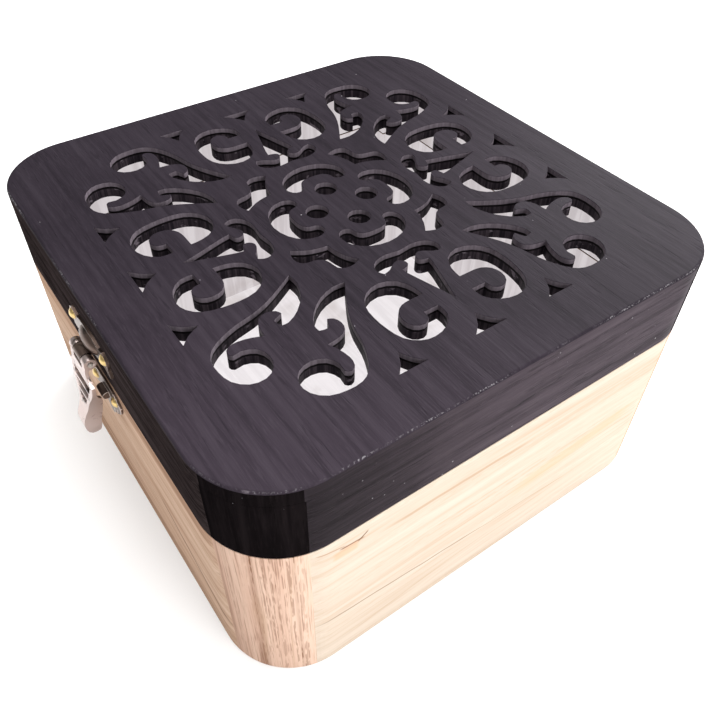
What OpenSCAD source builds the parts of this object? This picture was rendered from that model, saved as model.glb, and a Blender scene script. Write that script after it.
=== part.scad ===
// Square wooden spice box with rounded corners, a hinged fretwork lid and a metal hasp.
// Frame: +X to the right, +Y to the back, +Z up, origin at the centre of the bottom face.

/* [Box] */
// Outside width and depth of the box
box_w = 160; // [140:1:180]
// Height of the base, from the table to its rim
base_h = 62; // [55:1:75]
// Height of the lid, over its fretwork panel
lid_h = 25.7; // [24:0.1:30]
// Radius of the four rounded corners
corner_r = 22.5; // [20:0.5:26]
// Thickness of the side boards
wall_t = 8; // [7:0.5:10]
// Distance from an outside face to the joint between post and board
post_leg = 17; // [16:0.5:20]
// Thickness of the bottom board
bottom_t = 4; // [3:0.5:6]
// Rounding of the lid's upper edge
lid_edge_r = 0.9; // [0.5:0.1:2]
// Rounding of the base's lower edge
foot_edge_r = 0.6; // [0.3:0.1:2]

/* [Fretwork] */
// Thickness of the fretwork panel
panel_t = 5; // [4:0.5:6]
// Size of the pattern, as a share of its real size
pattern_scale = 1; // [0.8:0.01:1.05]
// Straight steps in each curved stretch of an outline
curve_steps = 2; // [2:1:5]

/* [Hinges] */
// Distance of each hinge from the middle of the back
hinge_x = 44; // [30:1:50]
// Width of a hinge, along its pin
hinge_w = 16; // [14:1:22]
// Radius of the hinge pin
hinge_pin_r = 0.6; // [0.5:0.05:0.8]
// Opening angle of the lid, set by the bevelled back edges
lid_swing = 105; // [95:1:110]

/* [Hasp] */
// Height of the hasp pin above the lid's lower edge
hasp_pin_rise = 9.7; // [9:0.1:11]
// Distance of the hasp pin from the front face
hasp_pin_out = 3.4; // [3.2:0.1:4]
// Radius of the hasp pin
hasp_pin_r = 0.7; // [0.5:0.05:0.9]
// Thickness of the stamped sheet
sheet_t = 0.9; // [0.7:0.1:1.1]

/* [Hidden] */
$fn = 48;

half_w = box_w / 2;
joint_x = half_w - post_leg;
air = 0.3;
lid_z = base_h + air;
top_z = lid_z + lid_h;
panel_z = top_z - panel_t;
rabbet = wall_t / 2;
eps = 0.02;
fit = 0.05;

tongue_t = 3;
tongue_l = 4;
tongue_in = 3.6;

hinge_y = half_w - 2;
hinge_z = base_h + air / 2;
leaf_t = 0.7;
leaf_l = 5.2;
knuckle_r = 1.6;
knuckle_share = 0.35;
bevel_angle = lid_swing / 2;
bevel_back_off = 0.4;
hinge_nail_x = 5.4;
hinge_nail_y = 3.6;

hasp_z = lid_z + hasp_pin_rise;
hasp_knuckle_r = hasp_pin_r + 1;
barrel_half = 5.5;
hasp_gap_x = 2.9;
lid_plate_z = lid_z + 13.7;
plate_t = 0.8;
nail_shank_r = 0.6;
nail_head_r = 1.7;
nail_head_h = 1.0;
nail_l = 5;

natural = "BurlyWood";
painted = "DimGray";
nickel = "Silver";
brass = "Goldenrod";
dark_steel = "DarkGoldenrod";

// ---------- curves ----------

function xy(k) = [k[0], k[1]];
function is_sharp(k) = len(k) > 2;
function unit(v) = v / max(norm(v), 0.0001);

// Direction of the curve at knot b: along its neighbours where smooth, along the edge where sharp
function way(a, b, c, next) = is_sharp(b) ? (next ? unit(xy(c) - xy(b)) : unit(xy(b) - xy(a)))
                                          : unit(xy(c) - xy(a));

// Point at t between p and q, leaving along u and arriving along v
function between(p, q, u, v, t) =
    let (l = norm(q - p), s = 1 - t)
    (1 + 2 * t) * s * s * p + t * s * s * l * u
    + t * t * (3 - 2 * t) * q - t * t * s * l * v;

// Closed outline through the knots. A knot is [x, y], or [x, y, 1] where the outline has a point.
function outline(k) = let (n = len(k)) [
    for (i = [0 : n - 1])
        let (a = k[(i + n - 1) % n], b = k[i], c = k[(i + 1) % n], d = k[(i + 2) % n])
        for (s = [0 : curve_steps - 1])
            between(xy(b), xy(c), way(a, b, c, true), way(b, c, d, false), s / curve_steps)
];

// Whole knot list of a shape that is drawn as its right half, from the axis round to the axis
function both_halves(h) = concat(h, [
    for (i = [len(h) - 2 : -1 : 1])
        is_sharp(h[i]) ? [-h[i][0], h[i][1], 1] : [-h[i][0], h[i][1]]
]);

// ---------- fretwork openings, x along the side, y outwards from the centre ----------

c_scroll = [
    [6.3, 46.0, 1], [6.7, 42.4], [8.8, 38.2], [13.3, 36.2], [18.2, 37.7], [21.2, 41.4],
    [22.0, 46.4], [21.7, 51.4], [20.4, 56.2], [17.4, 59.2], [13.6, 60.1], [9.0, 58.8],
    [5.9, 55.4], [5.7, 51.6, 1], [10.3, 51.6, 1], [10.7, 54.0], [12.9, 55.3], [15.6, 54.1],
    [16.6, 51.2], [15.8, 48.2], [13.4, 46.4], [10.8, 46.0, 1]
];

s_scroll = [
    [20.2, 30.8, 1], [23.8, 30.7], [28.8, 32.5], [33.4, 36.4], [35.8, 40.4], [35.8, 42.6, 1],
    [33.4, 43.0], [32.6, 41.8], [31.9, 40.1, 1], [30.4, 40.9], [29.6, 43.2], [30.3, 45.7],
    [33.0, 47.2], [36.7, 47.7, 1], [35.5, 50.4], [34.7, 54.2], [35.2, 56.9], [36.9, 58.1],
    [38.3, 57.2], [38.0, 54.8], [39.5, 51.5], [43.1, 50.1], [46.9, 51.2], [49.0, 54.4],
    [48.5, 58.4], [45.4, 61.5], [41.0, 62.5], [36.8, 62.2], [33.7, 60.3], [31.2, 56.3],
    [29.3, 51.4], [28.1, 46.2], [26.2, 41.2], [23.6, 36.4]
];

anchor_half = [
    [0, 28.1], [4.4, 27.5], [8.2, 28.3], [10.4, 30.5], [10.5, 32.6], [9.6, 34.1, 1],
    [7.5, 33.5], [5.5, 32.1], [3.5, 31.4], [2.0, 32.4], [1.7, 34.0], [2.8, 34.9],
    [4.6, 35.3, 1], [4.1, 37.8], [2.7, 42.6], [1.1, 48.0], [0, 51.8, 1]
];

crescent_half = [
    [0, 23.3], [5.6, 22.0], [9.3, 18.8], [10.4, 15.0], [9.5, 12.4], [7.5, 11.5],
    [5.7, 12.4], [5.2, 14.4], [3.7, 16.2], [0, 16.7]
];

leaf_half = [
    [0, 21.6, 1], [2.4, 23.4], [5.6, 25.0], [9.6, 25.9, 1], [8.6, 28.4], [6.8, 30.2],
    [4.6, 30.5], [2.3, 28.9], [0, 28.0]
];

petal_half = [[0, 5.3], [2.4, 6.4], [3.5, 8.8], [2.4, 11.2], [0, 12.3]];

function border_triangle(half) = [
    [half, 65.3, 1], [-half, 65.3, 1], [-half * 0.45, 62.9], [0, 59.2, 1], [half * 0.45, 62.9]
];
middle_triangle_half = 5.1;
side_triangle_half = 4.3;
side_triangle_x = 24.4;

module fretwork_pattern() {
    for (side = [0 : 3]) rotate(90 * side) {
        polygon(outline(both_halves(anchor_half)));
        polygon(outline(both_halves(crescent_half)));
        polygon(outline(both_halves(petal_half)));
        polygon(outline(border_triangle(middle_triangle_half)));
        rotate(45) polygon(outline(both_halves(leaf_half)));
        for (hand = [0, 1]) mirror([hand, 0]) {
            polygon(outline(c_scroll));
            polygon(outline(s_scroll));
            translate([side_triangle_x, 0]) polygon(outline(border_triangle(side_triangle_half)));
        }
    }
}

// ---------- wooden case ----------

module rounded_square(half, r) {
    square([2 * half, 2 * (half - r)], center = true);
    square([2 * (half - r), 2 * half], center = true);
    for (x = [-1, 1], y = [-1, 1]) translate([x * (half - r), y * (half - r)]) circle(r);
}

// Section through a block with rounded lower and upper edges, from its middle out to half
module eased_section(half, h, low, high) {
    translate([-half, low]) square([2 * half, h - low - high]);
    translate([low - half, 0]) square([2 * (half - low), h - high]);
    translate([high - half, low]) square([2 * (half - high), h - low]);
    for (side = [-1, 1]) {
        if (low > 0) translate([side * (half - low), low]) circle(low);
        if (high > 0) translate([side * (half - high), h - high]) circle(high);
    }
}

// Whole outside of the box from height z, with its rounded corners and eased edges
module case_block(z, h, low = 0, high = 0) {
    mid = half_w - corner_r;
    translate([0, 0, z]) {
        for (turn = [0, 90]) rotate(turn) rotate([90, 0, 0]) translate([0, 0, -mid])
            linear_extrude(2 * mid) eased_section(half_w, h, low, high);
        for (x = [-1, 1], y = [-1, 1]) translate([x * mid, y * mid, 0])
            rotate_extrude() intersection() {
                eased_section(corner_r, h, low, high);
                square([corner_r, h]);
            }
    }
}

// Tongues on both ends of the front board, seen from above
module tongues() {
    for (x = [-1, 1])
        translate([x * joint_x - tongue_l, tongue_in - half_w]) square([2 * tongue_l, tongue_t]);
}

module board(z, h, low = 0) {
    intersection() {
        case_block(z, h, low);
        translate([0, 0, z]) linear_extrude(h) {
            translate([-joint_x, -half_w]) square([2 * joint_x, wall_t]);
            tongues();
        }
    }
}

// Square corner block between the front and the right board, grooved for their tongues
module post(z, h, low = 0) {
    intersection() {
        case_block(z, h, low);
        translate([0, 0, z]) linear_extrude(h) difference() {
            translate([joint_x, -half_w]) square(post_leg);
            tongues();
            rotate(90) tongues();
        }
    }
}

// Step along the lower edge of the walls that the bottom board sits in
module bottom_rabbet() {
    translate([0, 0, -eps]) linear_extrude(bottom_t + eps)
        rounded_square(half_w - rabbet, corner_r - rabbet);
}

// Wedge that bevels the back edges round the hinge line: below it for the lid, above it for the base
module back_bevel(up) {
    reach = 6;
    rise = reach * tan(bevel_angle);
    translate([-half_w, hinge_y - bevel_back_off, hinge_z])
        rotate([90, 0, 90]) linear_extrude(box_w)
            polygon([[0, 0], [reach, -up * rise], [reach, up * 0.5 * reach], [0, up * 0.5 * reach]]);
}

// Room for a hinge: its barrel, one leaf and the nails
module hinge_mortise(leaf_z) {
    for (x = [-hinge_x, hinge_x]) translate([x, 0, 0]) {
        translate([-hinge_w / 2 - air, hinge_y, hinge_z]) rotate([0, 90, 0])
            cylinder(r = knuckle_r + 0.4, h = hinge_w + 2 * air);
        translate([-hinge_w / 2 - 0.05, hinge_y - leaf_l - 0.05, leaf_z])
            cube([hinge_w + 0.1, leaf_l + 0.1, leaf_t]);
        for (s = [-1, 1]) translate([s * hinge_nail_x, hinge_y - hinge_nail_y, leaf_z - nail_l])
            cylinder(r = 0.52, h = 2 * nail_l);
    }
}

module latch_nail_holes(xs, z) {
    for (s = [-1, 1]) translate([s * xs, -half_w - eps, z]) rotate([-90, 0, 0])
        cylinder(r = nail_shank_r + eps, h = nail_l + 0.2);
}

module base_front_board() {
    color(natural) difference() {
        board(0, base_h, foot_edge_r);
        bottom_rabbet();
        latch_nail_holes(base_nail_x, base_nail_z);
    }
}

module base_side_board(turn) {
    color(natural) difference() {
        rotate(turn) board(0, base_h, foot_edge_r);
        bottom_rabbet();
    }
}

module base_back_board() {
    color(natural) difference() {
        rotate(180) board(0, base_h, foot_edge_r);
        bottom_rabbet();
        back_bevel(1);
        hinge_mortise(base_h - leaf_t);
    }
}

module base_post(turn) {
    color(natural) difference() {
        rotate(turn) post(0, base_h, foot_edge_r);
        bottom_rabbet();
        back_bevel(1);
    }
}

module base_bottom() {
    color(natural) linear_extrude(bottom_t)
        rounded_square(half_w - rabbet - fit, corner_r - rabbet - fit);
}

module lid_front_board() {
    color(painted) difference() {
        board(lid_z, lid_h - panel_t);
        latch_nail_holes(lid_nail_x, lid_nail_z);
    }
}

module lid_side_board(turn) {
    color(painted) rotate(turn) board(lid_z, lid_h - panel_t);
}

module lid_back_board() {
    color(painted) difference() {
        rotate(180) board(lid_z, lid_h - panel_t);
        back_bevel(-1);
        hinge_mortise(lid_z);
    }
}

module lid_post(turn) {
    color(painted) difference() {
        rotate(turn) post(lid_z, lid_h - panel_t);
        back_bevel(-1);
    }
}

module lid_fretwork_panel() {
    color(painted) difference() {
        case_block(panel_z, panel_t, 0, lid_edge_r);
        translate([0, 0, panel_z - 1]) linear_extrude(panel_t + 2) scale(pattern_scale) fretwork_pattern();
    }
}

// ---------- hinges ----------

barrel_mid = hinge_w * knuckle_share;

// Leaf with its knuckles: the base leaf has the two outer ones, the lid leaf the middle one
module hinge_leaf(x, z, outer) {
    spans = outer ? [[-hinge_w / 2, (hinge_w - barrel_mid) / 2 - air], [barrel_mid / 2 + air,
        (hinge_w - barrel_mid) / 2 - air]] : [[-barrel_mid / 2, barrel_mid]];
    color(dark_steel) translate([x, 0, 0]) difference() {
        union() {
            translate([-hinge_w / 2, hinge_y - leaf_l, z])
                cube([hinge_w, leaf_l - knuckle_r - 0.4, leaf_t]);
            for (s = spans) {
                translate([s[0], hinge_y - leaf_l, z]) cube([s[1], leaf_l, leaf_t]);
                translate([s[0], hinge_y, hinge_z]) rotate([0, 90, 0]) cylinder(r = knuckle_r, h = s[1]);
            }
        }
        translate([-hinge_w, hinge_y, hinge_z]) rotate([0, 90, 0])
            cylinder(r = hinge_pin_r + 0.06, h = 2 * hinge_w);
        for (s = [-1, 1]) translate([s * hinge_nail_x, hinge_y - hinge_nail_y, outer ? z + leaf_t : z])
            mirror([0, 0, outer ? 1 : 0]) countersunk_nail(eps);
    }
}

module hinge_pin(x) {
    color(dark_steel) translate([x - hinge_w / 2 - 0.2, hinge_y, hinge_z]) rotate([0, 90, 0])
        cylinder(r = hinge_pin_r, h = hinge_w + 0.4);
}

// Nail pointing up with its flat head at z = 0, or the hole for it with some play
module countersunk_nail(play = 0) {
    translate([0, 0, -play]) cylinder(r1 = 1 + 2 * play, r2 = 0.5 + play, h = 0.5 + play);
    cylinder(r = 0.5 + play, h = nail_l);
}

module hinge_nails(z, down) {
    color(brass) for (x = [-hinge_x, hinge_x], s = [-1, 1])
        translate([x + s * hinge_nail_x, hinge_y - hinge_nail_y, z])
            mirror([0, 0, down]) countersunk_nail();
}

// ---------- latch, drawn on the front face: x along it, y up, z outwards ----------

module on_front() {
    translate([0, -half_w, 0]) rotate([90, 0, 0]) children();
}

lid_nail_x = 10.8;
lid_nail_z = lid_plate_z + 0.8;
base_nail_x = 6.8;
base_nail_z = base_h - 5.2;
base_plate_z = base_h - 0.8;

lid_plate_half = [
    [0, 3.6], [4.6, 3.2], [7.6, 2.2], [10.8, 3.4], [13.2, 1.0], [12.6, -1.4, 1],
    [13.0, -4.4], [11.0, -4.8, 1], [9.0, -3.6], [6.6, -4.0], [3.6, -4.6], [0, -4.8]
];
lid_dome = [6.2, 3.4, 2.6];
lid_dome_z = -0.6;

base_plate_half = [
    [0, 0], [5.0, -0.4], [8.4, -1.4], [10.8, -4.0], [9.8, -6.8, 1], [8.0, -8.6], [6.4, -8.0, 1],
    [5.0, -11.4], [2.8, -10.6, 1], [1.6, -14.0], [0, -14.8]
];

module latch_lid_plate() {
    color(nickel) on_front() difference() {
        union() {
            translate([0, lid_plate_z, 0]) {
                linear_extrude(plate_t) polygon(outline(both_halves(lid_plate_half)));
                intersection() {
                    translate([0, lid_dome_z, 0]) scale(lid_dome) sphere(1, $fn = 32);
                    translate([-lid_dome[0], -10, 0]) cube([2 * lid_dome[0], 20, 10]);
                }
            }
            translate([air - hasp_gap_x, hasp_z + hasp_knuckle_r - sheet_t, 0])
                cube([2 * (hasp_gap_x - air), sheet_t, hasp_pin_out]);
            translate([air - hasp_gap_x, hasp_z, hasp_pin_out]) rotate([0, 90, 0])
                cylinder(r = hasp_knuckle_r, h = 2 * (hasp_gap_x - air));
        }
        translate([-20, hasp_z, hasp_pin_out]) rotate([0, 90, 0]) cylinder(r = hasp_pin_r + 0.06, h = 40);
        for (s = [-1, 1]) translate([s * lid_nail_x, lid_nail_z, -1])
            cylinder(r = nail_shank_r + eps, h = 3);
    }
}

// Side view of the hasp and of the hollow behind its face: distance from the box, height over the pin
hasp_side = [
    [4.7, 0.4, 1], [5.4, -2.5], [5.6, -6.5], [6.0, -9.2], [6.7, -12.5], [7.2, -15.2], [7.8, -18.0],
    [9.0, -20.5], [9.9, -23.0], [9.8, -25.5], [8.6, -27.6], [7.0, -28.2], [5.9, -27.2], [5.0, -23.6],
    [4.1, -21.0], [3.6, -18.4], [3.2, -15.6], [3.5, -13.2], [4.3, -11.8], [4.7, -9.6], [4.6, -6.5],
    [4.4, -2.6], [3.6, -1.4, 1]
];
hasp_hollow = [
    [2.5, -11.2, 1], [5.2, -11.2, 1], [5.8, -13.5], [6.3, -16.0], [6.9, -18.2], [6.2, -19.4, 1],
    [2.5, -19.4, 1]
];

// Front view of the hasp: x, height over the pin
hasp_front_half = [
    [0, 2, 1], [5.3, 2, 1], [5.3, -3.4, 1], [5.9, -5.2], [7.9, -6.2, 1], [7.7, -8.4],
    [6.6, -11.0], [5.0, -13.6], [3.7, -16.2], [2.9, -18.8], [2.6, -21.4], [2.7, -24.0], [2.8, -26.6],
    [2.0, -28.6], [0, -29.4]
];
hasp_windows = [[-7.3, 6.0, -10.1, 5.1], [-10.8, 4.7, -13.4, 3.3], [-14.1, 2.9, -16.4, 1.9]];

module hasp_profile(points, half) {
    rotate([0, -90, 0]) translate([0, 0, -half]) linear_extrude(2 * half) polygon(outline(points));
}

module hasp_face() {
    polygon(outline(both_halves(hasp_front_half)));
}

// Stamped hasp with three windows in its face, flanges at its waist and a solid thumb grip
module latch_hasp() {
    color(nickel) on_front() translate([0, hasp_z, 0]) difference() {
        union() {
            intersection() {
                hasp_profile(hasp_side, 10);
                linear_extrude(12) hasp_face();
            }
            translate([-barrel_half, 0, hasp_pin_out]) rotate([0, 90, 0])
                cylinder(r = hasp_knuckle_r, h = 2 * barrel_half);
        }
        intersection() {
            hasp_profile(hasp_hollow, 10);
            linear_extrude(12) offset(delta = -sheet_t) hasp_face();
        }
        for (w = hasp_windows) linear_extrude(12)
            polygon([[-w[1], w[0]], [w[1], w[0]], [w[3], w[2]], [-w[3], w[2]]]);
        translate([-20, 0, hasp_pin_out]) rotate([0, 90, 0]) cylinder(r = hasp_pin_r + 0.06, h = 40);
        translate([-hasp_gap_x, -hasp_knuckle_r - 0.4, 0]) cube([2 * hasp_gap_x, 10, 10]);
    }
}

module latch_hasp_pin() {
    color(nickel) on_front() translate([-barrel_half - 0.3, hasp_z, hasp_pin_out]) rotate([0, 90, 0])
        cylinder(r = hasp_pin_r, h = 2 * barrel_half + 0.6);
}

// Round nose on the base plate, just behind the closed hasp
catch_r = 1.2;
catch_half_w = 2.4;
catch_out = 1.6;
catch_drop = 5.4;

module latch_base_plate() {
    color(nickel) on_front() translate([0, base_plate_z, 0]) difference() {
        union() {
            linear_extrude(plate_t) polygon(outline(both_halves(base_plate_half)));
            translate([-catch_half_w, -catch_drop - catch_r, 0])
                cube([2 * catch_half_w, 2 * catch_r, catch_out]);
            translate([-catch_half_w, -catch_drop, catch_out]) rotate([0, 90, 0])
                cylinder(r = catch_r, h = 2 * catch_half_w);
        }
        for (s = [-1, 1]) translate([s * base_nail_x, base_nail_z - base_plate_z, -1])
            cylinder(r = nail_shank_r + eps, h = 3);
    }
}

// Domed brass nail through a plate
module plate_nails(xs, z) {
    color(brass) on_front() for (s = [-1, 1]) translate([s * xs, z, plate_t]) {
        translate([0, 0, -nail_l - plate_t]) cylinder(r = nail_shank_r, h = nail_l + plate_t + 0.1);
        intersection() {
            cylinder(r = nail_head_r, h = nail_head_h);
            translate([0, 0, nail_head_h - 2.0]) sphere(r = 2.0);
        }
    }
}

base_bottom();
base_front_board();
base_back_board();
base_side_board(-90);  // base_left_board
base_side_board(90);  // base_right_board
base_post(-90);  // base_post_front_left
base_post(0);  // base_post_front_right
base_post(180);  // base_post_back_left
base_post(90);  // base_post_back_right
lid_fretwork_panel();
lid_front_board();
lid_back_board();
lid_side_board(-90);  // lid_left_board
lid_side_board(90);  // lid_right_board
lid_post(-90);  // lid_post_front_left
lid_post(0);  // lid_post_front_right
lid_post(180);  // lid_post_back_left
lid_post(90);  // lid_post_back_right
hinge_leaf(-hinge_x, base_h - leaf_t, true);  // hinge_base_leaf_left
hinge_leaf(hinge_x, base_h - leaf_t, true);  // hinge_base_leaf_right
hinge_leaf(-hinge_x, lid_z, false);  // hinge_lid_leaf_left
hinge_leaf(hinge_x, lid_z, false);  // hinge_lid_leaf_right
hinge_pin(-hinge_x);  // hinge_pin_left
hinge_pin(hinge_x);  // hinge_pin_right
hinge_nails(base_h, 1);  // hinge_base_nails
hinge_nails(lid_z, 0);  // hinge_lid_nails
latch_lid_plate();
plate_nails(lid_nail_x, lid_nail_z);  // latch_lid_nails
latch_hasp();
latch_hasp_pin();
latch_base_plate();
plate_nails(base_nail_x, base_nail_z);  // latch_base_nails
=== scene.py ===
"""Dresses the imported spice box: sanded wooden parts, plated hardware and a plain pale studio."""

import logging
import math
from dataclasses import dataclass, field
from enum import Enum

import bpy
from mathutils import Matrix, Vector


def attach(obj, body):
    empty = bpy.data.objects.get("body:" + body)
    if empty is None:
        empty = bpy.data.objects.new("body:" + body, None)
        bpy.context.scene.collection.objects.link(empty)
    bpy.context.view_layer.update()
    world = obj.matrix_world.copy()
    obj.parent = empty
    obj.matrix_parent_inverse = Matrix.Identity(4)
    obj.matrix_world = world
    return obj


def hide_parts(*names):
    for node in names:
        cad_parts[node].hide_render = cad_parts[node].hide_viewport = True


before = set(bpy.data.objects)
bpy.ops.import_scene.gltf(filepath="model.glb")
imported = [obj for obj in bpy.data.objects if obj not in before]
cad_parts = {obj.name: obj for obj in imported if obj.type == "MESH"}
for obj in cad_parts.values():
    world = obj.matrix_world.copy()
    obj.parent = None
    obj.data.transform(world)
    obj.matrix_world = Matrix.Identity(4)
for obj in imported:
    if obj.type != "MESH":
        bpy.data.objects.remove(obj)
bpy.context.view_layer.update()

LOG = logging.getLogger("spice_box")
MM = 0.001

Triple = tuple[float, float, float]
Color = tuple[float, float, float]
Socket = bpy.types.NodeSocket
Level = Socket | float
Tint = Socket | Color

WHITE = (1, 1, 1, 1)
BLACK: Color = (0.0, 0.0, 0.0)
NOISE_MIDDLE = 0.5
MIX_COLOR_INPUTS = (0, 6, 7)
MIX_COLOR_OUTPUT = 2


class Grain(Enum):
    """Row axis that a part's fibres, or the strokes of a brush, run along."""

    ALONG_X = "x"
    ALONG_Y = "y"
    ALONG_Z = "z"


class Sum(Enum):
    """Arithmetic that one Math node does."""

    PLUS = "ADD"
    MINUS = "SUBTRACT"
    TIMES = "MULTIPLY"
    TIMES_PLUS = "MULTIPLY_ADD"
    SIZE = "ABSOLUTE"
    LARGER = "MAXIMUM"
    FRACTION = "FRACT"
    BELOW = "LESS_THAN"
    ABOVE = "GREATER_THAN"


class Blend(Enum):
    """How a second colour goes over the first one."""

    COVER = "MIX"
    TINT = "MULTIPLY"


def srgb(red: float, green: float, blue: float) -> Color:
    """Linear colour of an sRGB colour given in 0 to 255.

    Args:
        red: Red level as seen on a screen.
        green: Green level as seen on a screen.
        blue: Blue level as seen on a screen.

    Returns:
        The three linear levels.
    """

    def linear(level: float) -> float:
        """Linear value of one sRGB level."""
        share = level / 255
        return share / 12.92 if share <= 0.04045 else ((share + 0.055) / 1.055) ** 2.4

    return linear(red), linear(green), linear(blue)


def stretched(grain: Grain, across: float, along: float) -> Triple:
    """Scale of a pattern that is drawn out along the grain.

    Args:
        grain: Axis of the fibres.
        across: Cycles per metre across the fibres.
        along: Cycles per metre along them.

    Returns:
        Scales along X, Y and Z.
    """
    return (
        along if grain is Grain.ALONG_X else across,
        along if grain is Grain.ALONG_Y else across,
        along if grain is Grain.ALONG_Z else across,
    )


def stepped(start: Triple, step: Triple, number: int) -> Triple:
    """Pattern offset of one part in a row of parts.

    Args:
        start: Offset of the first part.
        step: Difference from one part to the next.
        number: Parts before this one.

    Returns:
        The offset along X, Y and Z.
    """
    x, y, z = (first + number * more for first, more in zip(start, step))
    return x, y, z


@dataclass(frozen=True)
class Tones:
    """Light, middle and dark tone of one finish."""

    light: Color
    middle: Color
    dark: Color


@dataclass(frozen=True)
class Pattern:
    """Noise that can be drawn out along the grain.

    Across and along are cycles per metre. Levels are the noise values where the pattern's marks
    begin to show and where they show in full.
    """

    across: float
    along: float
    octaves: int
    warp: float = 0.0
    levels: tuple[float, float] = (0.0, 1.0)


class MaterialSheet:
    """Node material under construction, with short calls for the nodes that the finishes share."""

    noise_roughness: float = 0.55

    def __init__(self, name: str, grain: Grain = Grain.ALONG_X, shift: Triple = (0, 0, 0)) -> None:
        """Starts a material with an empty Principled shader.

        Args:
            name: Name of the material.
            grain: Axis of the part's fibres.
            shift: Offset of its patterns, so that no two parts share one.
        """
        self.grain = grain
        self.shift = shift
        self.material = bpy.data.materials.new(name)
        self.material.use_nodes = True
        self.tree = self.material.node_tree
        self.shader = self.tree.nodes["Principled BSDF"]
        self.coords = self.tree.nodes.new("ShaderNodeTexCoord")

    def link(self, source: Socket, target: Socket) -> None:
        """Joins an output socket to an input socket."""
        self.tree.links.new(source, target)

    def feed(self, value: Level | Tint, target: Socket) -> None:
        """Sets an input from a number or a linear colour, or links a socket to it.

        Args:
            value: Number, linear colour or output socket.
            target: Input socket.
        """
        if isinstance(value, (int, float)):
            target.default_value = value
        elif isinstance(value, tuple):
            target.default_value = (*value, 1)
        else:
            self.link(value, target)

    def place(self, scale: Triple, shift: Triple) -> Socket:
        """Object coordinates, scaled per axis.

        Args:
            scale: Cycles per metre along X, Y and Z.
            shift: Offset of the pattern.

        Returns:
            The vector socket.
        """
        node = self.tree.nodes.new("ShaderNodeMapping")
        node.inputs["Scale"].default_value = scale
        node.inputs["Location"].default_value = shift
        self.link(self.coords.outputs["Object"], node.inputs["Vector"])
        return node.outputs["Vector"]

    def noise_at(self, vector: Socket, octaves: int, warp: float) -> Socket:
        """Noise value at a vector socket.

        Args:
            vector: Where to read the noise.
            octaves: Layers of finer and finer noise.
            warp: How much the noise bends itself.

        Returns:
            The value socket.
        """
        node = self.tree.nodes.new("ShaderNodeTexNoise")
        node.inputs["Scale"].default_value = 1.0
        node.inputs["Detail"].default_value = octaves
        node.inputs["Distortion"].default_value = warp
        node.inputs["Roughness"].default_value = self.noise_roughness
        self.link(vector, node.inputs["Vector"])
        return node.outputs["Fac"]

    def noise(
        self, pattern: Pattern, grain: Grain | None = None, shift: Triple | None = None
    ) -> Socket:
        """Noise of a pattern, with the part's own grain and offset where none is given.

        Args:
            pattern: Pattern to draw.
            grain: Axis that it is drawn out along, or None.
            shift: Its offset, or None.

        Returns:
            The value socket.
        """
        scale = stretched(grain or self.grain, pattern.across, pattern.along)
        vector = self.place(scale, self.shift if shift is None else shift)
        return self.noise_at(vector, pattern.octaves, pattern.warp)

    def marks(
        self, pattern: Pattern, grain: Grain | None = None, shift: Triple | None = None
    ) -> Socket:
        """Share of a pattern's marks, from 0 for none to 1.

        Args:
            pattern: Pattern to draw.
            grain: Axis that it is drawn out along, or None.
            shift: Its offset, or None.

        Returns:
            The value socket.
        """
        return self.band(self.noise(pattern, grain, shift), *pattern.levels)

    def math(self, kind: Sum, *values: Level) -> Socket:
        """One Math node on sockets or numbers.

        Args:
            kind: Operation.
            *values: Its one to three operands.

        Returns:
            The value socket.
        """
        node = self.tree.nodes.new("ShaderNodeMath")
        node.operation = kind.value
        for slot, value in enumerate(values):
            self.feed(value, node.inputs[slot])
        return node.outputs["Value"]

    def plus(self, first: Level, second: Level) -> Socket:
        """First plus second."""
        return self.math(Sum.PLUS, first, second)

    def minus(self, first: Level, second: Level) -> Socket:
        """First minus second."""
        return self.math(Sum.MINUS, first, second)

    def times(self, first: Level, second: Level) -> Socket:
        """First times second."""
        return self.math(Sum.TIMES, first, second)

    def size(self, value: Level) -> Socket:
        """A value without its sign."""
        return self.math(Sum.SIZE, value)

    def band(self, value: Socket, low: float, high: float) -> Socket:
        """Smooth step: 0 at low, 1 at high. With low above high it falls instead.

        Args:
            value: Socket to read.
            low: Value that gives 0.
            high: Value that gives 1.

        Returns:
            The value socket.
        """
        node = self.tree.nodes.new("ShaderNodeMapRange")
        node.interpolation_type = "SMOOTHSTEP"
        node.inputs["From Min"].default_value = low
        node.inputs["From Max"].default_value = high
        self.link(value, node.inputs["Value"])
        return node.outputs["Result"]

    def ramp(self, value: Socket, stops: list[tuple[float, Color]]) -> Socket:
        """Colour ramp.

        Args:
            value: Socket that picks the colour.
            stops: Position and linear colour of each stop.

        Returns:
            The colour socket.
        """
        node = self.tree.nodes.new("ShaderNodeValToRGB")
        elements = node.color_ramp.elements
        while len(elements) < len(stops):
            elements.new(0.5)
        for element, (position, color) in zip(elements, stops):
            element.position = position
            element.color = (*color, 1)
        self.link(value, node.inputs["Fac"])
        return node.outputs["Color"]

    def toned(self, value: Socket, tones: Tones, stops: Triple) -> Socket:
        """Colour of a figure, from its dark tone to its light one.

        Args:
            value: Socket that picks the tone.
            tones: The three tones.
            stops: Values that give the dark, the middle and the light tone.

        Returns:
            The colour socket.
        """
        return self.ramp(value, list(zip(stops, (tones.dark, tones.middle, tones.light))))

    def mix(self, share: Level, first: Tint, second: Tint, blend: Blend = Blend.COVER) -> Socket:
        """Mixes two colours.

        Args:
            share: Socket or number, 0 for the first colour.
            first: Colour socket or linear colour.
            second: Colour socket or linear colour.
            blend: How the second goes over the first.

        Returns:
            The colour socket.
        """
        node = self.tree.nodes.new("ShaderNodeMix")
        node.data_type = "RGBA"
        node.blend_type = blend.value
        for slot, value in zip(MIX_COLOR_INPUTS, (share, first, second)):
            self.feed(value, node.inputs[slot])
        return node.outputs[MIX_COLOR_OUTPUT]

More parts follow.
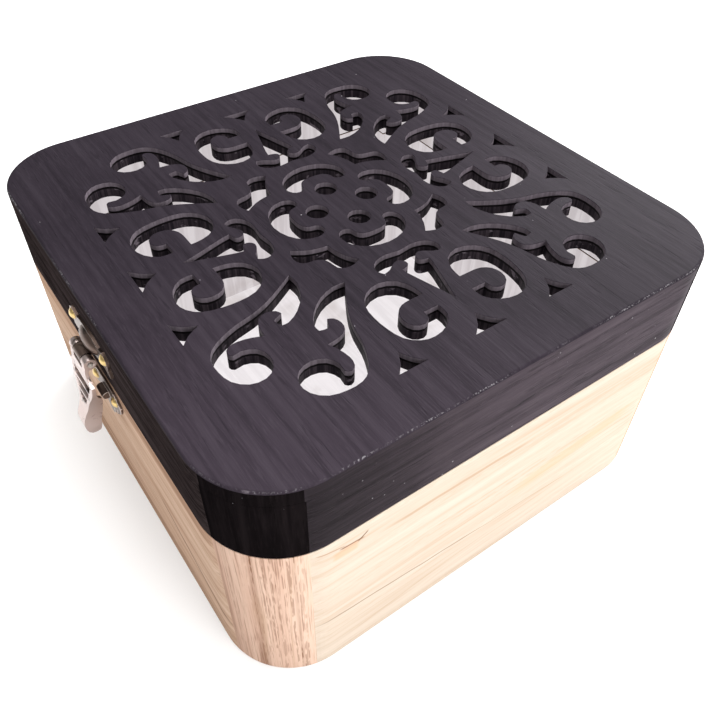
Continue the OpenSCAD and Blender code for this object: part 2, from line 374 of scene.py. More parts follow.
    def axes(self) -> tuple[Socket, Socket, Socket]:
        """Object coordinates one by one.

        Returns:
            The X, Y and Z sockets.
        """
        node = self.tree.nodes.new("ShaderNodeSeparateXYZ")
        self.link(self.coords.outputs["Object"], node.inputs["Vector"])
        return node.outputs["X"], node.outputs["Y"], node.outputs["Z"]

    def bump(self, height: Socket, depth: float, strength: float) -> Socket:
        """Bump node.

        Args:
            height: Height socket.
            depth: Distance in metres.
            strength: Share of it that shows.

        Returns:
            The normal socket.
        """
        node = self.tree.nodes.new("ShaderNodeBump")
        node.inputs["Distance"].default_value = depth
        node.inputs["Strength"].default_value = strength
        self.link(height, node.inputs["Height"])
        return node.outputs["Normal"]

    def finish(
        self,
        color: Tint,
        rough: Level,
        normal: Socket | None = None,
        metallic: float = 0.0,
        specular: float = 0.5,
    ) -> bpy.types.Material:
        """Wires the shader.

        Args:
            color: Colour socket or linear colour.
            rough: Roughness socket or number.
            normal: Normal socket or None.
            metallic: Metallic share, the same all over.
            specular: Specular level, the same all over.

        Returns:
            The finished material.
        """
        self.feed(color, self.shader.inputs["Base Color"])
        self.feed(rough, self.shader.inputs["Roughness"])
        if normal is not None:
            self.link(normal, self.shader.inputs["Normal"])
        self.shader.inputs["Metallic"].default_value = metallic
        self.shader.inputs["Specular IOR Level"].default_value = specular
        return self.material


@dataclass(frozen=True)
class InnerPaint:
    """White paint inside the box, between two heights and within the boards' inner faces.

    Little light falls through the fretwork, so most of the paint's brightness is a painted glow:
    the paint shines though it is no lamp.
    """

    color: Color = srgb(236, 231, 233)
    brushed: Color = srgb(227, 222, 224)
    grime: Color = srgb(176, 164, 158)
    # Strength of the painted glow.
    glow: float = 0.84
    brushing: Grain = Grain.ALONG_X
    reflect_share: float = 0.32
    half: float = 72.3 * MM
    strokes: Pattern = Pattern(260, 22, 3, 0.6, (0.40, 0.62))
    settled: Pattern = Pattern(38, 38, 4, 0.4, (0.50, 0.75))
    grime_rise: float = 9 * MM
    grime_share: float = 0.6

    def lay(self, sheet: MaterialSheet, color: Tint, low: float, high: float) -> Socket:
        """Lays the white paint over a finish.

        Args:
            sheet: Material under construction.
            color: Colour of the bare finish.
            low: Height in metres where the paint starts.
            high: Height in metres where it ends.

        Returns:
            The colour socket with the paint on it.
        """
        origin = (0, 0, 0)
        x, y, z = sheet.axes()
        reach = sheet.math(Sum.LARGER, sheet.size(x), sheet.size(y))
        inside = sheet.math(Sum.BELOW, reach, self.half)
        inside = sheet.times(inside, sheet.math(Sum.ABOVE, z, low))
        inside = sheet.times(inside, sheet.math(Sum.BELOW, z, high))
        strokes = sheet.marks(self.strokes, self.brushing, origin)
        paint = sheet.mix(strokes, self.color, self.brushed)
        near_floor = sheet.band(z, low + self.grime_rise, low)
        settled = sheet.times(sheet.marks(self.settled, self.brushing, origin), near_floor)
        paint = sheet.mix(sheet.times(settled, self.grime_share), paint, self.grime)
        # Painted light: the paint glows in its own colour wherever it lies.
        sheet.link(sheet.mix(inside, BLACK, paint), sheet.shader.inputs["Emission Color"])
        sheet.shader.inputs["Emission Strength"].default_value = self.glow
        # The paint's own colour is dimmed, so the painted glow carries most of its white.
        reflect_share = sheet.mix(1.0, paint, (self.reflect_share, self.reflect_share, self.reflect_share), Blend.TINT)
        return sheet.mix(inside, color, reflect_share)


BOTTOM_PAINT = InnerPaint()
WALL_PAINT = InnerPaint(
    color=srgb(224, 218, 220),
    brushed=srgb(208, 201, 203),
    grime=srgb(166, 154, 148),
    # painted glow of the inner walls
    glow=0.74,
    brushing=Grain.ALONG_Z,
)


@dataclass(frozen=True)
class GrainMark:
    """Single mark that runs nearly along a side board: a dark line, a scar or a tinted patch.

    Start and end are distance along the board and height, half and soft are half widths, all in mm.
    """

    start: tuple[float, float]
    end: tuple[float, float]
    half: float
    soft: float
    color: Color
    strength: float
    taper: float = 0.12

    def lay(
        self, sheet: MaterialSheet, color: Tint, along: Socket, height: Socket, waver: Socket
    ) -> Socket:
        """Lays the mark over a finish.

        Args:
            sheet: Material under construction.
            color: Colour of the wood.
            along: Socket with the distance along the board, in metres.
            height: Socket with the height, in metres.
            waver: Socket with the mark's wander off its line, in metres.

        Returns:
            The colour socket with the mark on it.
        """
        (first, low), (last, high) = self.start, self.end
        slope = (high - low) / (last - first)
        line = sheet.math(Sum.TIMES_PLUS, along, slope, (low - slope * first) * MM)
        off = sheet.size(sheet.minus(sheet.minus(height, line), waver))
        across = sheet.band(off, (self.half + self.soft) * MM, self.half * MM)
        fade = self.taper * (last - first)
        entry = sheet.band(along, (first - fade) * MM, (first + fade) * MM)
        leave = sheet.band(along, (last + fade) * MM, (last - fade) * MM)
        share = sheet.times(sheet.times(across, entry), leave)
        return sheet.mix(sheet.times(share, self.strength), color, self.color)


@dataclass(frozen=True)
class RawWood:
    """Bare pale wood with soft growth figure, fibres and pores, white inside the box.

    Each column of a post is a darker stripe: its place, half width and strength, in mm.
    """

    name: str
    grain: Grain
    tones: Tones
    shift: Triple = (0.0, 0.0, 0.0)
    streaks: float = 0.35
    marks: tuple[GrainMark, ...] = ()
    columns: tuple[Triple, ...] = ()
    paint: InnerPaint = BOTTOM_PAINT
    inside_low: float = 3.95 * MM
    inside_high: float = 61.9 * MM
    figure: Pattern = Pattern(85, 5, 4, 1.0)
    figure_share: float = 0.5
    bands: Pattern = Pattern(380, 9, 3, 0.5)
    band_share: float = 0.5
    stops: Triple = (0.30, 0.46, 0.62)
    fibres: Pattern = Pattern(2400, 70, 3, 0.2, (0.50, 0.72))
    threads: Pattern = Pattern(2500, 10, 1, 0.0, (0.46, 0.60))
    breaks: Pattern = Pattern(1300, 230, 1, 0.0, (0.40, 0.56))
    clusters: Pattern = Pattern(130, 3, 3, 0.2, (0.36, 0.66))
    pore_gain: float = 1.2
    column_tint: float = 0.3
    column_waver: Pattern = Pattern(20, 12, 2)
    column_reach: float = 2 * MM
    column_core: float = 0.2
    swell: Pattern = Pattern(42, 1.6, 2, 0.3)
    ring_count: float = 17.0
    ring_width: tuple[float, float] = (0.10, 0.015)
    ring_breaks: Pattern = Pattern(90, 11, 2, 0.4, (0.44, 0.62))
    ring_share: float = 0.3
    ring_color: Color = srgb(166, 134, 104)
    mark_waver: Pattern = Pattern(30, 30, 3)
    mark_reach: float = 3 * MM
    band_relief: float = 0.7
    relief: tuple[float, float] = (0.10 * MM, 0.45)
    rough: float = 0.62

    def material(self) -> bpy.types.Material:
        """Builds the material.

        Returns:
            The finished material.
        """
        sheet = MaterialSheet(self.name, self.grain, self.shift)
        figure = sheet.times(sheet.noise(self.figure), self.figure_share)
        bands = sheet.noise(self.bands)
        tone = sheet.plus(figure, sheet.times(bands, self.band_share))
        color = sheet.toned(tone, self.tones, self.stops)
        fibres = sheet.noise(self.fibres)
        fibre_share = sheet.times(sheet.band(fibres, *self.fibres.levels), self.streaks)
        color = sheet.mix(fibre_share, color, self.tones.dark)
        pores = sheet.times(sheet.marks(self.threads), sheet.marks(self.breaks))
        crowd = sheet.marks(self.clusters)
        if self.columns:
            columns = self.column_share(sheet)
            crowd = sheet.plus(crowd, columns)
            color = sheet.mix(sheet.times(columns, self.column_tint), color, self.tones.dark)
        dashes = sheet.times(sheet.times(pores, crowd), self.pore_gain * self.streaks)
        color = sheet.mix(dashes, color, self.tones.dark)
        color = self.growth_lines(sheet, color)
        if self.marks:
            color = self.own_marks(sheet, color)
        color = self.paint.lay(sheet, color, self.inside_low, self.inside_high)
        height = sheet.plus(fibres, sheet.times(bands, self.band_relief))
        return sheet.finish(color, self.rough, sheet.bump(height, *self.relief), specular=0.0)

    def column_share(self, sheet: MaterialSheet) -> Level:
        """Share of a post's own darker columns, which follow its rounding.

        Args:
            sheet: Material under construction.

        Returns:
            The value socket.
        """
        x, y = sheet.axes()[:2]
        waver = sheet.times(sheet.noise(self.column_waver, Grain.ALONG_Z), self.column_reach)
        around = sheet.plus(sheet.minus(sheet.size(x), sheet.size(y)), waver)
        share: Level = 0.0
        for place, half, strength in self.columns:
            off = sheet.size(sheet.minus(around, place * MM))
            column = sheet.band(off, half * MM, self.column_core * half * MM)
            share = sheet.plus(share, sheet.times(column, strength))
        return share

    def growth_lines(self, sheet: MaterialSheet, color: Tint) -> Socket:
        """Draws thin growth lines that wander along the grain and come and go.

        Args:
            sheet: Material under construction.
            color: Colour of the wood.

        Returns:
            The colour socket with the lines on it.
        """
        phase = sheet.math(Sum.FRACTION, sheet.times(sheet.noise(self.swell), self.ring_count))
        thin = sheet.band(sheet.size(sheet.minus(phase, NOISE_MIDDLE)), *self.ring_width)
        share = sheet.times(thin, sheet.marks(self.ring_breaks))
        return sheet.mix(sheet.times(share, self.ring_share), color, self.ring_color)

    def own_marks(self, sheet: MaterialSheet, color: Tint) -> Tint:
        """Lays the board's own marks over its outer face.

        Args:
            sheet: Material under construction.
            color: Colour of the wood.

        Returns:
            The colour with the marks on it.
        """
        x, y, z = sheet.axes()
        along = x if self.grain is Grain.ALONG_X else y
        waver = sheet.minus(sheet.noise(self.mark_waver), NOISE_MIDDLE)
        waver = sheet.times(waver, self.mark_reach)
        for mark in self.marks:
            color = mark.lay(sheet, color, along, z, waver)
        return color


@dataclass(frozen=True)
class SawnPlies:
    """Plies of the fretwork panel, seen on its sawn walls: a pale one, a glue line, rubbed ones."""

    upper: Color = srgb(104, 96, 103)
    lower: Color = srgb(62, 55, 60)
    glue: Color = srgb(12, 9, 11)
    glue_height: float = 86.3 * MM
    glue_width: tuple[float, float] = (0.42 * MM, 0.26 * MM)
    split: tuple[float, float] = (86.35 * MM, 86.55 * MM)
    top: tuple[float, float] = (87.93 * MM, 87.87 * MM)
    underside: tuple[float, float] = (83.02 * MM, 83.08 * MM)
    margin: tuple[float, float] = (74 * MM, 73 * MM)
    wander: Pattern = Pattern(45, 0, 2)
    wander_reach: float = 0.5 * MM
    saw_strokes: Pattern = Pattern(1100, 60, 2)
    pale_levels: tuple[float, float] = (0.70, 0.30)
    pale_share: float = 0.5
    dark_levels: tuple[float, float] = (0.35, 0.75)
    rubs: Pattern = Pattern(260, 420, 4, 0.0, (0.60, 0.70))

    def lay(self, sheet: MaterialSheet, color: Tint, shade: Color) -> Socket:
        """Lays the plies over the walls of the openings.

        Args:
            sheet: Material under construction.
            color: Colour of the stain.
            shade: Darkest tone of the lower plies.

        Returns:
            The colour socket with the plies on it.
        """
        x, y, z = sheet.axes()
        wander = sheet.times(sheet.noise(self.wander, Grain.ALONG_Z), self.wander_reach)
        height = sheet.plus(z, wander)
        strokes = sheet.noise(self.saw_strokes, Grain.ALONG_Z)
        streaks = sheet.times(sheet.band(strokes, *self.pale_levels), self.pale_share)
        upper = sheet.mix(streaks, self.upper, self.lower)
        lower = sheet.mix(sheet.band(strokes, *self.dark_levels), shade, self.lower)
        lower = sheet.mix(sheet.marks(self.rubs, Grain.ALONG_Z), lower, self.upper)
        plies = sheet.mix(sheet.band(height, *self.split), lower, upper)
        off = sheet.size(sheet.minus(height, self.glue_height))
        plies = sheet.mix(sheet.band(off, *self.glue_width), plies, self.glue)
        walls = sheet.times(sheet.band(z, *self.top), sheet.band(z, *self.underside))
        for across in (x, y):
            walls = sheet.times(walls, sheet.band(sheet.size(across), *self.margin))
        return sheet.mix(walls, color, plies)


@dataclass(frozen=True)
class DarkStain:
    """Matte dark grey stain that lets the open grain show, white inside the lid."""

    name: str
    grain: Grain
    tones: Tones
    shift: Triple = (0.0, 0.0, 0.0)
    gloss: float = 0.022
    # Share of the painted sheen towards the front right corner.
    painted_sheen: float = 0.0
    plies: SawnPlies | None = None
    inside_low: float = 62.4 * MM
    inside_high: float = 82.9 * MM
    cloud_scale: Triple = (16, 24, 20)
    cloud_octaves: int = 4
    cloud_warp: float = 0.8
    cloud_share: float = 0.35
    figure: Pattern = Pattern(460, 16, 4, 0.6)
    figure_share: float = 0.65
    stops: Triple = (0.32, 0.50, 0.68)
    fibres: Pattern = Pattern(2300, 200, 3, 0.2, (0.50, 0.72))
    fibre_share: float = 0.6
    pores: Pattern = Pattern(1100, 120, 2, 0.0, (0.54, 0.66))
    clusters: Pattern = Pattern(190, 24, 2, 0.5, (0.46, 0.60))
    pore_share: float = 0.5
    # Painted shade that darkens the side boards towards the front.
    shade_from: float = 0.0
    shade_to: float = -66 * MM
    shade_share: float = 0.7
    # Reach and gain of the painted sheen towards the front right corner of the top.
    sheen_reach: tuple[float, float] = (40 * MM, 140 * MM)
    sheen_gain: Color = (1.9, 1.85, 1.85)
    worn: Color = srgb(150, 146, 150)
    dust: Pattern = Pattern(700, 700, 1, 0.0, (0.80, 0.82))
    dust_share: float = 0.7
    rub_foot: tuple[float, float] = (87.5 * MM, 87.7 * MM)
    rub_head: tuple[float, float] = (87.94 * MM, 87.86 * MM)
    rub_dots: Pattern = Pattern(1900, 1900, 2, 0.0, (0.50, 0.62))
    rub_patches: Pattern = Pattern(60, 60, 3, 0.0, (0.40, 0.60))
    rub_share: float = 0.5
    pore_relief: float = 0.8
    relief: tuple[float, float] = (0.10 * MM, 0.5)
    rough: float = 0.46

    def material(self) -> bpy.types.Material:
        """Builds the material.

        Returns:
            The finished material.
        """
        sheet = MaterialSheet(self.name, self.grain, self.shift)
        cloud_place = sheet.place(self.cloud_scale, self.shift)
        clouds = sheet.noise_at(cloud_place, self.cloud_octaves, self.cloud_warp)
        clouds = sheet.times(clouds, self.cloud_share)
        figure = sheet.times(sheet.noise(self.figure), self.figure_share)
        color = sheet.toned(sheet.plus(clouds, figure), self.tones, self.stops)
        pores = sheet.times(sheet.marks(self.pores), sheet.marks(self.clusters))
        color = sheet.mix(sheet.times(pores, self.pore_share), color, self.tones.dark)
        fibres = sheet.noise(self.fibres)
        light_fibres = sheet.times(sheet.band(fibres, *self.fibres.levels), self.fibre_share)
        color = sheet.mix(light_fibres, color, self.tones.light)
        # Painted shade: the side boards darken towards the front.
        if self.grain is Grain.ALONG_Y:
            color = self.painted_shade_at_front(sheet, color)
        # Painted sheen: the top lightens towards the front right corner.
        if self.painted_sheen:
            color = self.painted_sheen_corner(sheet, color)
        color = self.wear(sheet, color)
        if self.plies:
            color = self.plies.lay(sheet, color, self.tones.dark)
        color = WALL_PAINT.lay(sheet, color, self.inside_low, self.inside_high)
        height = sheet.minus(fibres, sheet.times(pores, self.pore_relief))
        normal = sheet.bump(height, *self.relief)
        return sheet.finish(color, self.rough, normal, specular=self.gloss)

    def painted_shade_at_front(self, sheet: MaterialSheet, color: Tint) -> Socket:
        """Darkens a side board towards the front posts with the posts' stain colour: painted shade.

        Args:
            sheet: Material under construction.
            color: Colour of the stain.

        Returns:
            The deepened colour socket.
        """
        near = sheet.band(sheet.axes()[1], self.shade_from, self.shade_to)
        return sheet.mix(sheet.times(near, self.shade_share), color, POST_STAIN.middle)

    def painted_sheen_corner(self, sheet: MaterialSheet, color: Tint) -> Socket:
        """Lightens the stain towards the front right corner: painted sheen, the soft highlight
        across the top.

        Args:
            sheet: Material under construction.
            color: Colour of the stain.

        Returns:
            The faded colour socket.
        """
        x, y = sheet.axes()[:2]
        near = sheet.band(sheet.minus(x, y), *self.sheen_reach)
        return sheet.mix(sheet.times(near, self.painted_sheen), color, self.sheen_gain, Blend.TINT)

    def wear(self, sheet: MaterialSheet, color: Tint) -> Socket:
        """Adds light specks of dust and the rubbed upper edge.

        Args:
            sheet: Material under construction.
            color: Colour of the stain.

        Returns:
            The colour socket with the wear on it.
        """
        dust = sheet.times(sheet.marks(self.dust), self.dust_share)
        color = sheet.mix(dust, color, self.worn)
        height = sheet.axes()[2]
        rubbed = sheet.times(
            sheet.band(height, *self.rub_foot), sheet.band(height, *self.rub_head)
        )
        rubbed = sheet.times(rubbed, sheet.marks(self.rub_dots))
        rubbed = sheet.times(rubbed, sheet.marks(self.rub_patches))
        return sheet.mix(sheet.times(rubbed, self.rub_share), color, self.worn)


@dataclass(frozen=True)
class Metal:
    """Plated metal: bright on its faces, darker where dirt and wear dull it."""

    name: str
    bright: Color
    dull: Color
    rough: float
    rough_spread: float = 0.12
    wear: Pattern = Pattern(260, 260, 4, 0.6)
    wear_stops: tuple[float, float] = (0.30, 0.42)
    fine: Pattern = Pattern(2600, 2600, 2)
    relief: tuple[float, float] = (0.01 * MM, 0.4)

    def material(self) -> bpy.types.Material:
        """Builds the material.

        Returns:
            The finished material.
        """
        sheet = MaterialSheet(self.name)
        stops = list(zip(self.wear_stops, (self.dull, self.bright)))
        color = sheet.ramp(sheet.noise(self.wear), stops)
        fine = sheet.noise(self.fine)
        rough = sheet.math(Sum.TIMES_PLUS, fine, self.rough_spread, self.rough)
        return sheet.finish(color, rough, sheet.bump(fine, *self.relief), metallic=1.0)


def clear_selection() -> None:
    """Leaves object mode with nothing selected."""
    if bpy.context.object and bpy.context.object.mode != "OBJECT":
        bpy.ops.object.mode_set(mode="OBJECT")
    bpy.ops.object.select_all(action="DESELECT")


def apply_modifier(piece: bpy.types.Object, kind: str, **settings: object) -> None:
    """Adds a modifier with its settings and applies it.

    Args:
        piece: Object to change.
        kind: Modifier type.
        **settings: Its settings by name.
    """
    bpy.context.view_layer.objects.active = piece
    modifier = piece.modifiers.new(kind.lower(), kind)
    for key, value in settings.items():
        setattr(modifier, key, value)
    bpy.ops.object.modifier_apply(modifier=modifier.name)


@dataclass(frozen=True)
class EasedEdge:
    """Rounding that sanding or stamping leaves on sharp edges.

    Width is in metres. Edges sharper than the angle, in degrees, are eased. With a rim, the eased
    edges take the piece's second material.
    """

    width: float
    angle: float = 32.0
    segments: int = 2
    rim: bool = False
    weld: float = 0.004 * MM
    flat: float = 0.4
    smooth: float = 40.0
    weight: int = 80

    def copy_of(self, node: str, name: str) -> bpy.types.Object:
        """Copies a CAD node's shape and eases its edges.

        Args:
            node: CAD node to copy.
            name: Name of the new piece.

        Returns:
            The new piece, with its normals settled.
        """
        clear_selection()
        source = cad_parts[node]
        source.select_set(True)
        bpy.context.view_layer.objects.active = source
        bpy.ops.object.duplicate()
        piece = bpy.context.object
        piece.name = name
        piece.data.name = name
        piece.parent = None
        while len(piece.data.materials) < (2 if self.rim else 1):
            piece.data.materials.append(None)
        bpy.ops.object.mode_set(mode="EDIT")
        bpy.ops.mesh.select_all(action="SELECT")
        bpy.ops.mesh.remove_doubles(threshold=self.weld)
        bpy.ops.mesh.dissolve_limited(angle_limit=math.radians(self.flat))
        bpy.ops.object.mode_set(mode="OBJECT")
        apply_modifier(
            piece,
            "BEVEL",
            width=self.width,
            segments=self.segments,
            limit_method="ANGLE",
            angle_limit=math.radians(self.angle),
            use_clamp_overlap=True,
            miter_outer="MITER_ARC",
            material=1 if self.rim else -1,
        )
        bpy.ops.object.shade_smooth_by_angle(angle=math.radians(self.smooth))
        apply_modifier(piece, "WEIGHTED_NORMAL", keep_sharp=True, weight=self.weight)
        return piece


def stand_for(
    piece: bpy.types.Object, node: str, body: str, slot: str, *materials: bpy.types.Material
) -> None:
    """Lets a piece take a CAD node's place, on its body and with its finish.

    Args:
        piece: The new piece.
        node: CAD node that it replaces.
        body: Body that it rides on.
        slot: The record's material slot; not used.
        *materials: Its finishes, in the order of the piece's own material places.
    """
    for place, material in enumerate(materials):
        piece.data.materials[place] = material
    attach(piece, body)
    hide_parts(node)
    LOG.info("%s stands for %s on %s, %d faces", piece.name, node, body, len(piece.data.polygons))


def paint_node(node: str, material: bpy.types.Material) -> None:
    """Gives a CAD node that keeps its own shape a finish.

    Args:
        node: CAD node.
        material: Finish to wear.
    """
    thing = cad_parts[node]
    if thing.material_slots:
        for slot in thing.material_slots:
            slot.material = material
    else:
        thing.data.materials.append(material)
    LOG.info("%s keeps its shape and wears %s", node, material.name)


POST_WOOD = Tones(srgb(212, 183, 164), srgb(199, 166, 147), srgb(120, 84, 62))
SHADE_WOOD = Tones(srgb(213, 185, 163), srgb(195, 163, 140), srgb(149, 114, 92))
# Paler, greyer copy of the wood for the right board: painted light, the washed-out look of the side
# that faces the key light.
LIT_SIDE_WOOD = Tones(srgb(202, 188, 174), srgb(194, 179, 163), srgb(182, 156, 134))

PANEL_STAIN = Tones(srgb(45, 40, 46), srgb(37, 32, 38), srgb(28, 24, 29))
POST_STAIN = Tones(srgb(26, 22, 23), srgb(16, 13, 14), srgb(10, 8, 8))
BOARD_STAIN = Tones(srgb(72, 63, 69), srgb(59, 51, 57), srgb(34, 29, 33))
FRONT_STAIN = Tones(srgb(70, 61, 61), srgb(47, 40, 40), srgb(23, 19, 19))

RIGHT_BOARD_MARKS = (
    GrainMark((-61, 23.7), (-6, 19.6), 0.12, 0.30, srgb(120, 104, 84), 0.75),
    GrainMark((-4, 19.4), (30, 17.0), 0.08, 0.30, srgb(150, 130, 104), 0.45),
    GrainMark((8, 29.0), (54, 34.2), 1.2, 3.4, srgb(222, 166, 132), 0.45),
    GrainMark((-61.5, 59.2), (-54, 57.6), 0.06, 0.3, srgb(150, 112, 84), 0.6),
    GrainMark((-55, 57.0), (-48.5, 56.4), 0.12, 0.4, srgb(120, 84, 60), 0.85),
    GrainMark((-50, 56.0), (-47.2, 58.2), 0.12, 0.35, srgb(104, 70, 50), 0.9),
    GrainMark((-57, 54.6), (-50, 54.6), 0.8, 1.8, srgb(206, 156, 118), 0.45),
    GrainMark((-40, 53.2), (6, 52.0), 0.25, 0.8, srgb(164, 130, 98), 0.5),
)
FRONT_BOARD_MARKS = (
    GrainMark((24, 30.6), (62, 15.4), 0.3, 0.9, srgb(98, 66, 48), 0.62),
    GrainMark((-60, 6.0), (63, 4.0), 1.4, 2.4, srgb(140, 104, 80), 0.4),
)


@dataclass
class BaseCase:
    """The bare wooden base: four boards, four corner posts and the bottom board."""

    edge: EasedEdge = EasedEdge(0.28 * MM)
    board_streaks: float = 0.35
    post_streaks: float = 0.5
    shift_start: Triple = (0.3, 0.0, 0.0)
    shift_step: Triple = (1.7, 0.9, 2.3)
    columns: dict[str, tuple[Triple, ...]] = field(
        default_factory=lambda: {
            "base_post_front_right": ((-1.5, 1.8, 0.9), (12.5, 1.3, 0.7), (-11.5, 1.2, 0.5)),
            "base_post_front_left": ((2.5, 2.2, 0.7), (-9.5, 1.4, 0.6)),
            "base_post_back_left": ((-4.0, 1.6, 0.8), (10.0, 2.0, 0.5)),
            "base_post_back_right": ((6.0, 1.9, 0.7), (-8.0, 1.2, 0.7)),
        }
    )
    marks: dict[str, tuple[GrainMark, ...]] = field(
        default_factory=lambda: {
            "base_front_board": FRONT_BOARD_MARKS,
            "base_right_board": RIGHT_BOARD_MARKS,
        }
    )
    parts: dict[str, tuple[Grain, Tones]] = field(
        default_factory=lambda: {
            "base_front_board": (Grain.ALONG_X, SHADE_WOOD),
            "base_back_board": (Grain.ALONG_X, SHADE_WOOD),
            "base_left_board": (Grain.ALONG_Y, SHADE_WOOD),
            # the right board takes the lit copy of the wood: painted light
            "base_right_board": (Grain.ALONG_Y, LIT_SIDE_WOOD),
            "base_post_front_left": (Grain.ALONG_Z, POST_WOOD),
            "base_post_front_right": (Grain.ALONG_Z, POST_WOOD),
            "base_post_back_left": (Grain.ALONG_Z, POST_WOOD),
            "base_post_back_right": (Grain.ALONG_Z, POST_WOOD),
            "base_bottom": (Grain.ALONG_X, SHADE_WOOD),
        }
    )

    def build(self) -> None:
        """Builds and dresses every part of the base."""
        for number, (node, (grain, tones)) in enumerate(self.parts.items()):
            finish = RawWood(
                name=f"raw_{node}",
                grain=grain,
                tones=tones,
                shift=stepped(self.shift_start, self.shift_step, number),
                streaks=self.post_streaks if grain is Grain.ALONG_Z else self.board_streaks,
                marks=self.marks.get(node, ()),
                columns=self.columns.get(node, ()),
                paint=BOTTOM_PAINT if node == "base_bottom" else WALL_PAINT,
            )
            piece = self.edge.copy_of(node, f"{node}_sanded")
            stand_for(piece, node, "base", "natural_wood", finish.material())


@dataclass
class Lid:
    """The stained lid: the fretwork panel on a frame of boards and posts."""

    edge: EasedEdge = EasedEdge(0.05 * MM)
    fret_edge: EasedEdge = EasedEdge(0.12 * MM, angle=42.0)
    shift_start: Triple = (4.1, 0.0, 0.0)
    shift_step: Triple = (0.8, 1.9, 1.1)
    gloss: dict[str, float] = field(default_factory=lambda: {"lid_right_board": 0.015})
    outer_face: float = 72.5 * MM
    top_round: float = 87.35 * MM
    post_line: float = 63.0 * MM
    parts: dict[str, tuple[Grain, Tones]] = field(
        default_factory=lambda: {
            "lid_front_board": (Grain.ALONG_X, FRONT_STAIN),
            "lid_back_board": (Grain.ALONG_X, BOARD_STAIN),
            "lid_left_board": (Grain.ALONG_Y, BOARD_STAIN),
            "lid_right_board": (Grain.ALONG_Y, BOARD_STAIN),
            "lid_post_front_left": (Grain.ALONG_Z, POST_STAIN),
            "lid_post_front_right": (Grain.ALONG_Z, POST_STAIN),
            "lid_post_back_left": (Grain.ALONG_Z, POST_STAIN),
            "lid_post_back_right": (Grain.ALONG_Z, POST_STAIN),
        }
    )
    top_stain: DarkStain = DarkStain(
        "stained_fretwork",
        Grain.ALONG_X,
        PANEL_STAIN,
        (7.3, 2.1, 0.4),
        # painted sheen towards the front right corner
        painted_sheen=0.6,
        plies=SawnPlies(),
    )

    def build(self) -> None:
        """Builds and dresses every part of the lid."""
        finishes: dict[str, bpy.types.Material] = {}
        for number, (node, (grain, tones)) in enumerate(self.parts.items()):
            shift = stepped(self.shift_start, self.shift_step, number)
            stain = DarkStain(f"stained_{node}", grain, tones, shift, self.gloss.get(node, 0.0))
            finishes[node] = stain.material()
            piece = self.edge.copy_of(node, f"{node}_sanded")
            stand_for(piece, node, "lid", "painted_wood", finishes[node])
        self.panel(finishes)

    def panel(self, finishes: dict[str, bpy.types.Material]) -> None:
        """Builds the fretwork panel with its sawn and sanded edges.

        Args:
            finishes: Finish of each board and post, which runs on up the panel's outer side.
        """
        node = "lid_fretwork_panel"
        piece = self.fret_edge.copy_of(node, "fretwork_panel_sanded")
        parts = list(finishes)
        while len(piece.data.materials) <= len(parts):
            piece.data.materials.append(None)
        for face in piece.data.polygons:
            part = self.part_below(face.center)
            if part is not None:
                face.material_index = 1 + parts.index(part)
        top = self.top_stain.material()
        stand_for(piece, node, "lid", "painted_wood", top, *finishes.values())

    def part_below(self, point: Vector) -> str | None:
        """Board or post under a point of the panel's outer side.

        Args:
            point: Middle of one of the panel's faces.

        Returns:
            The node below it, or None for a face that is not on the outer side.
        """
        x, y, z = point
        if max(abs(x), abs(y)) < self.outer_face or z > self.top_round:
            return None
        depth, side = "back" if y > 0 else "front", "right" if x > 0 else "left"
        if min(abs(x), abs(y)) > self.post_line:
            return f"lid_post_{depth}_{side}"
        return f"lid_{side if abs(x) > abs(y) else depth}_board"


@dataclass
class Hardware:
    """Hinges and latch: stamped sheet, wire pins and nails."""

    nickel: Metal = Metal("nickel", srgb(188, 172, 167), srgb(84, 72, 67), 0.26)
    # Bright rims on the plates' eased edges: painted highlights.
    rim: Metal = Metal("painted_highlight_rim", srgb(232, 218, 210), srgb(168, 150, 142), 0.4)
    # Dark plate face: partly the antique finish, partly painted shade and dark reflection.
    patina_and_shade: Metal = Metal("dark_plate_painted_shade", srgb(104, 88, 80), srgb(44, 36, 32), 0.3)
    steel: Metal = Metal("steel_wire", srgb(200, 198, 194), srgb(120, 116, 110), 0.28)
    brass: Metal = Metal("brass_nail", srgb(214, 186, 126), srgb(140, 108, 58), 0.24)
    hinge_brass: Metal = Metal("hinge_sheet", srgb(214, 176, 102), srgb(128, 98, 52), 0.3)
    hasp_edge: EasedEdge = EasedEdge(0.16 * MM)
    plate_edge: EasedEdge = EasedEdge(0.3 * MM, segments=3, rim=True)

    def build(self) -> None:
        """Builds and dresses the hinges and the latch."""
        self.latch_sheet()
        brass = self.brass.material()
        for node in ("latch_lid_nails", "latch_base_nails", "hinge_base_nails", "hinge_lid_nails"):
            paint_node(node, brass)
        steel = self.steel.material()
        for node in ("hinge_pin_left", "hinge_pin_right", "latch_hasp_pin"):
            paint_node(node, steel)
        hinge_brass = self.hinge_brass.material()
        for side in ("left", "right"):
            for half in ("base", "lid"):
                paint_node(f"hinge_{half}_leaf_{side}", hinge_brass)

    def latch_sheet(self) -> None:
        """Builds the latch's two plates, dark with painted highlights on their rims, and its plated
        hasp.
        """
        # Dark plate face: partly the antique finish, partly painted shade and dark reflection.
        patina_and_shade = self.patina_and_shade.material()
        # Bright rims on the eased edges: painted highlights.
        rim = self.rim.material()
        for node, body in (("latch_lid_plate", "lid"), ("latch_base_plate", "base")):
            plate = self.plate_edge.copy_of(node, f"{node}_stamped")
            stand_for(plate, node, body, "nickel_plate", patina_and_shade, rim)
        hasp = self.hasp_edge.copy_of("latch_hasp", "latch_hasp_stamped")
        stand_for(hasp, "latch_hasp", "hasp", "nickel_plate", self.nickel.material())


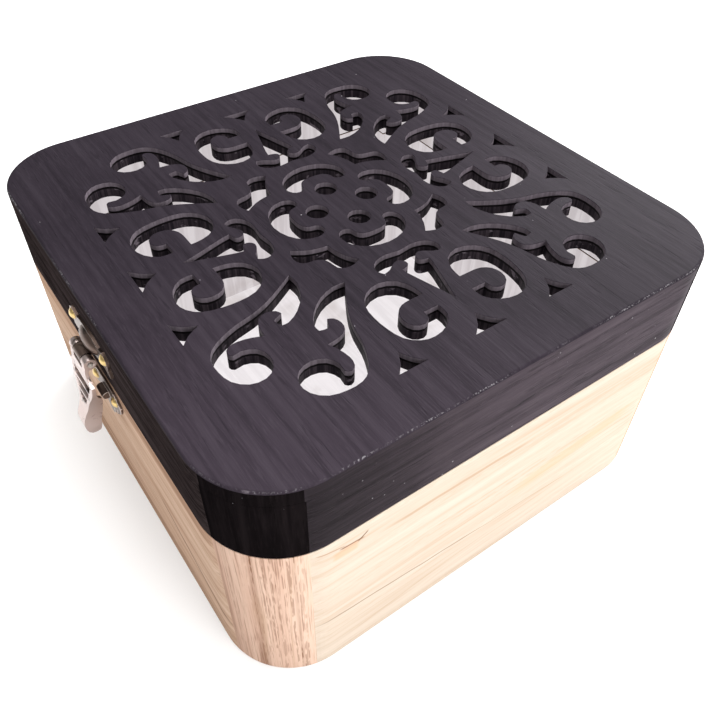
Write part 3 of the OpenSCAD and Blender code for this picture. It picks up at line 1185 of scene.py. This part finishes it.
@dataclass(frozen=True)
class Softbox:
    """Square area light: where it hangs, what it points at, its side in metres and its watts."""

    name: str
    place: Triple
    target: Triple
    side: float
    power: float

    def hang(self) -> None:
        """Adds the light."""
        clear_selection()
        bpy.ops.object.light_add(type="AREA", location=self.place)
        lamp = bpy.context.object
        lamp.name = self.name
        lamp.data.size = self.side
        lamp.data.energy = self.power
        away = Vector(self.place) - Vector(self.target)
        lamp.rotation_euler = away.to_track_quat("Z", "Y").to_euler()
        LOG.info("%s hangs at %s", self.name, self.place)


@dataclass
class Studio:
    """Pale floor, soft lights and the camera at the photograph's angle."""

    floor_half: float = 3.0
    floor_tone: Color = (0.7, 0.7, 0.7)
    floor_rough: float = 0.9
    floor_specular: float = 0.1
    floor_glow: float = 0.3
    floor_height: float = -0.1 * MM
    air_light: float = 0.4
    softboxes: tuple[Softbox, ...] = (
        Softbox("top_softbox", (0.0, 0.25, 1.5), (0, 0, 0), 1.5, 32),
        Softbox("right_key", (1.5, 0.25, 0.55), (0, 0, 0.04), 0.9, 21),
        Softbox("back_softbox", (-0.45, 1.25, 0.95), (0, 0, 0.08), 0.9, 34),
    )
    lens: float = 36.57
    sensor: float = 36.0
    clip_start: float = 0.01
    eye: Triple = (0.15285, -0.10387, 0.21104)
    eye_right: Triple = (0.57747607, 0.81627333, 0.01480672)
    eye_up: Triple = (-0.59168886, 0.40595886, 0.69649243)
    eye_back: Triple = (0.56251727, -0.41096868, 0.71741136)

    def build(self) -> None:
        """Sets up the floor, the lights and the camera."""
        self.floor()
        self.lights()
        self.camera()

    def floor(self) -> None:
        """Lays the floor, just under the box so that the two faces don't fight."""
        clear_selection()
        place = (0, 0, self.floor_height)
        bpy.ops.mesh.primitive_plane_add(size=2 * self.floor_half, location=place)
        floor = bpy.context.object
        floor.name = "floor"
        sheet = MaterialSheet("pale_floor")
        sheet.shader.inputs["Emission Color"].default_value = WHITE
        sheet.shader.inputs["Emission Strength"].default_value = self.floor_glow
        finish = sheet.finish(self.floor_tone, self.floor_rough, specular=self.floor_specular)
        floor.data.materials.append(finish)

    def lights(self) -> None:
        """Fills the air with weak white light and hangs the softboxes above, right and behind."""
        world = bpy.data.worlds.new("studio")
        bpy.context.scene.world = world
        world.use_nodes = True
        background = world.node_tree.nodes["Background"]
        background.inputs["Color"].default_value = WHITE
        background.inputs["Strength"].default_value = self.air_light
        for softbox in self.softboxes:
            softbox.hang()
        bpy.context.scene.view_settings.view_transform = "Standard"

    def camera(self) -> None:
        """Puts the camera at the photograph's viewpoint."""
        clear_selection()
        bpy.ops.object.camera_add()
        camera = bpy.context.object
        camera.name = "photo_camera"
        camera.data.sensor_width = self.sensor
        camera.data.lens = self.lens
        camera.data.clip_start = self.clip_start
        turn = Matrix((self.eye_right, self.eye_up, self.eye_back)).transposed().to_4x4()
        camera.matrix_world = Matrix.Translation(self.eye) @ turn
        bpy.context.scene.camera = camera


def main() -> None:
    """Builds every sub-assembly in order."""
    logging.basicConfig(level=logging.INFO, format="%(name)s: %(message)s")
    BaseCase().build()
    Lid().build()
    Hardware().build()
    Studio().build()


if __name__ == "__main__":
    main()
